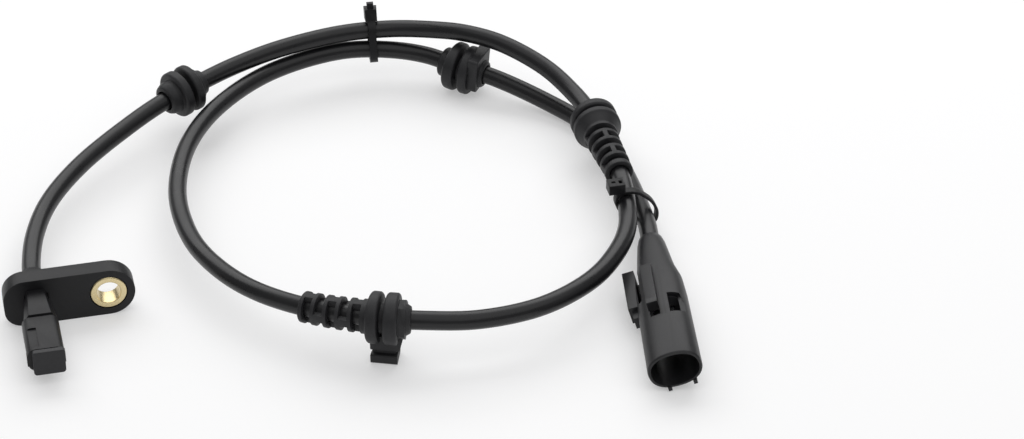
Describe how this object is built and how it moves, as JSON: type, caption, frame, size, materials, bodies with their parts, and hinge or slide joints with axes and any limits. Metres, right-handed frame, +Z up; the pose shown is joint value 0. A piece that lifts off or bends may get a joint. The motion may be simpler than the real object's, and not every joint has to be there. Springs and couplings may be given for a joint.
{
  "type": "abs wheel speed sensor",
  "caption": "Wheel speed sensor: flanged head with brass bush and square nose, black cable in an open loop with rubber grommets and ties, ending in an oval plug connector",
  "frame": {"origin": "The point at floor level under the middle of the sensor head's box, with the head alone giving the box.", "axes": "X runs along the flange from the probe to the bush, the probe points along -Y and the cable leaves along +Y, Z is up and is the height of the flange."},
  "size_m": [0.1797, 0.173, 0.024],
  "materials": {
    "black_moulding": "satin black glass-filled moulding",
    "grey_black_moulding": "satin grey-black moulding",
    "brass": "turned bright brass",
    "cable_sheath": "smooth satin black sheath",
    "black_rubber": "matt black rubber",
    "black_nylon": "satin black nylon",
    "connector_moulding": "satin black moulding",
    "chip_epoxy": "dark epoxy",
    "ferrite": "ground dark ferrite",
    "tinned_copper": "bright tin plating",
    "core_insulation": "smooth brown insulation"
  },
  "bodies": {
    "root": {"head_housing": "black_moulding", "mounting_bush": "brass", "element_carrier": "grey_black_moulding", "hall_chip": "chip_epoxy", "bias_magnet": "ferrite", "carrier_terminal_left": "tinned_copper", "carrier_terminal_right": "tinned_copper", "head_core_left": "core_insulation", "head_core_right": "core_insulation", "cable": "cable_sheath", "grommet_rear_left": "black_rubber", "grommet_rear_right": "black_rubber", "grommet_boot": "black_rubber", "grommet_front_clip": "black_rubber", "cable_tie_top": "black_nylon", "cable_tie_side": "black_nylon", "connector_housing": "connector_moulding", "pin_holder": "grey_black_moulding", "terminal_pin_left": "tinned_copper", "terminal_pin_right": "tinned_copper", "connector_core_left": "core_insulation", "connector_core_right": "core_insulation"}
  },
  "joints": []
}
